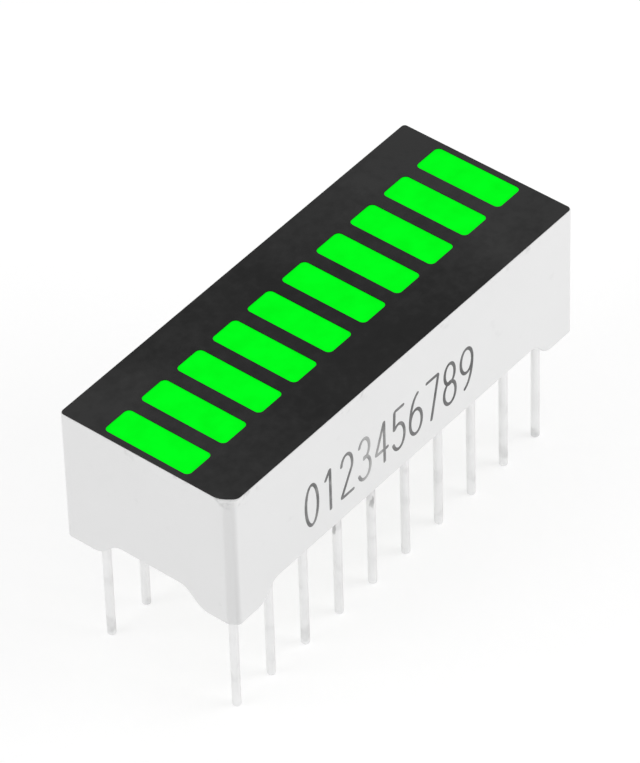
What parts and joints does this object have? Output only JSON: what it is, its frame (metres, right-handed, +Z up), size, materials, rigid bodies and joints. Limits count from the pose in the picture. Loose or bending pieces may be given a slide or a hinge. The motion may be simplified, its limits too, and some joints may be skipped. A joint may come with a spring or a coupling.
{
  "type": "led bar graph",
  "caption": "Flat bar of green light segments in a white housing with a black face, for a circuit board, with two rows of round leads.",
  "frame": {"origin": "middle of the lead grid, in the seating plane of the four corner feet", "axes": "+X along the row of bars from lead 1 to lead 10, +Y across to the row of leads 11 to 20, +Z up through the face"},
  "size_m": [0.0254, 0.01, 0.0145],
  "materials": {
    "white_moulding": "moulded, fine satin",
    "black_print": "screen printed, satin",
    "green_resin": "diffusing resin, lit",
    "tinned_wire": "tinned, satin",
    "board_laminate": "green laminate",
    "copper": "plated tracks",
    "light_chip": "sawn die",
    "gold_wire": "drawn fine wire",
    "potting_resin": "cast, smooth"
  },
  "bodies": {
    "root": {"reflector_housing": "white_moulding", "face_print": "black_print", "circuit_board": "board_laminate", "copper_tracks": "copper", "potting": "potting_resin", "light_bar_01": "green_resin", "led_chip_01": "light_chip", "bond_wire_01": "gold_wire", "light_bar_02": "green_resin", "led_chip_02": "light_chip", "bond_wire_02": "gold_wire", "light_bar_03": "green_resin", "led_chip_03": "light_chip", "bond_wire_03": "gold_wire", "light_bar_04": "green_resin", "led_chip_04": "light_chip", "bond_wire_04": "gold_wire", "light_bar_05": "green_resin", "led_chip_05": "light_chip", "bond_wire_05": "gold_wire", "light_bar_06": "green_resin", "led_chip_06": "light_chip", "bond_wire_06": "gold_wire", "light_bar_07": "green_resin", "led_chip_07": "light_chip", "bond_wire_07": "gold_wire", "light_bar_08": "green_resin", "led_chip_08": "light_chip", "bond_wire_08": "gold_wire", "light_bar_09": "green_resin", "led_chip_09": "light_chip", "bond_wire_09": "gold_wire", "light_bar_10": "green_resin", "led_chip_10": "light_chip", "bond_wire_10": "gold_wire", "lead_01": "tinned_wire", "lead_02": "tinned_wire", "lead_03": "tinned_wire", "lead_04": "tinned_wire", "lead_05": "tinned_wire", "lead_06": "tinned_wire", "lead_07": "tinned_wire", "lead_08": "tinned_wire", "lead_09": "tinned_wire", "lead_10": "tinned_wire", "lead_11": "tinned_wire", "lead_12": "tinned_wire", "lead_13": "tinned_wire", "lead_14": "tinned_wire", "lead_15": "tinned_wire", "lead_16": "tinned_wire", "lead_17": "tinned_wire", "lead_18": "tinned_wire", "lead_19": "tinned_wire", "lead_20": "tinned_wire"}
  },
  "joints": []
}
